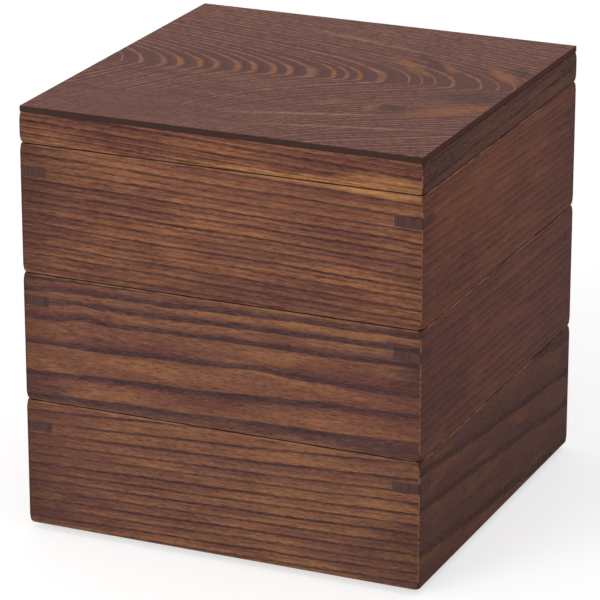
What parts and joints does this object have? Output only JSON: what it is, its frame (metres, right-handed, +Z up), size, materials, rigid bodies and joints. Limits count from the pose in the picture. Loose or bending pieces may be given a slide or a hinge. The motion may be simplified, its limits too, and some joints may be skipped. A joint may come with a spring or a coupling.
{
  "type": "stacking food box",
  "caption": "Square stacking wooden food box: mitred and keyed tiers that nest on strips, under a lid with a thin flat panel, in wiped lacquer that shows the grain.",
  "frame": {"origin": "on the surface that the box stands on, under the middle of the stack", "axes": "+Z up through the stack, -Y towards the front, +X towards the right side"},
  "size_m": [0.195, 0.195, 0.2047],
  "materials": {
    "wall_wood": "ring-porous wood under wiped brown lacquer, satin",
    "rail_wood": "ring-porous wood under wiped brown lacquer, satin",
    "panel_wood": "flat-sawn wood under wiped brown lacquer, satin",
    "key_wood": "dark wood across the grain under wiped lacquer",
    "inner_wood": "wood under wiped brown lacquer, matt"
  },
  "bodies": {
    "bottom_tier": {"bottom_front_wall": "wall_wood", "bottom_right_wall": "wall_wood", "bottom_back_wall": "wall_wood", "bottom_left_wall": "wall_wood", "bottom_base_panel": "inner_wood", "bottom_front_right_key": "key_wood", "bottom_back_right_key": "key_wood", "bottom_back_left_key": "key_wood", "bottom_front_left_key": "key_wood", "bottom_front_strip": "inner_wood", "bottom_right_strip": "inner_wood", "bottom_back_strip": "inner_wood", "bottom_left_strip": "inner_wood"},
    "middle_tier": {"middle_front_wall": "wall_wood", "middle_right_wall": "wall_wood", "middle_back_wall": "wall_wood", "middle_left_wall": "wall_wood", "middle_base_panel": "inner_wood", "middle_front_right_key": "key_wood", "middle_back_right_key": "key_wood", "middle_back_left_key": "key_wood", "middle_front_left_key": "key_wood", "middle_front_strip": "inner_wood", "middle_right_strip": "inner_wood", "middle_back_strip": "inner_wood", "middle_left_strip": "inner_wood"},
    "top_tier": {"top_front_wall": "wall_wood", "top_right_wall": "wall_wood", "top_back_wall": "wall_wood", "top_left_wall": "wall_wood", "top_base_panel": "inner_wood", "top_front_right_key": "key_wood", "top_back_right_key": "key_wood", "top_back_left_key": "key_wood", "top_front_left_key": "key_wood", "top_front_strip": "inner_wood", "top_right_strip": "inner_wood", "top_back_strip": "inner_wood", "top_left_strip": "inner_wood"},
    "lid": {"lid_panel": "panel_wood", "lid_front_rail": "rail_wood", "lid_right_rail": "rail_wood", "lid_back_rail": "rail_wood", "lid_left_rail": "rail_wood", "lid_front_strip": "inner_wood", "lid_right_strip": "inner_wood", "lid_back_strip": "inner_wood", "lid_left_strip": "inner_wood"}
  },
  "joints": [
    {"name": "middle_tier_lift", "type": "slide", "parent": "bottom_tier", "child": "middle_tier", "axis": [0, 0, 1], "range_m": [0, 0.1]},
    {"name": "top_tier_lift", "type": "slide", "parent": "middle_tier", "child": "top_tier", "axis": [0, 0, 1], "range_m": [0, 0.1]},
    {"name": "lid_lift", "type": "slide", "parent": "top_tier", "child": "lid", "axis": [0, 0, 1], "range_m": [0, 0.1]}
  ]
}
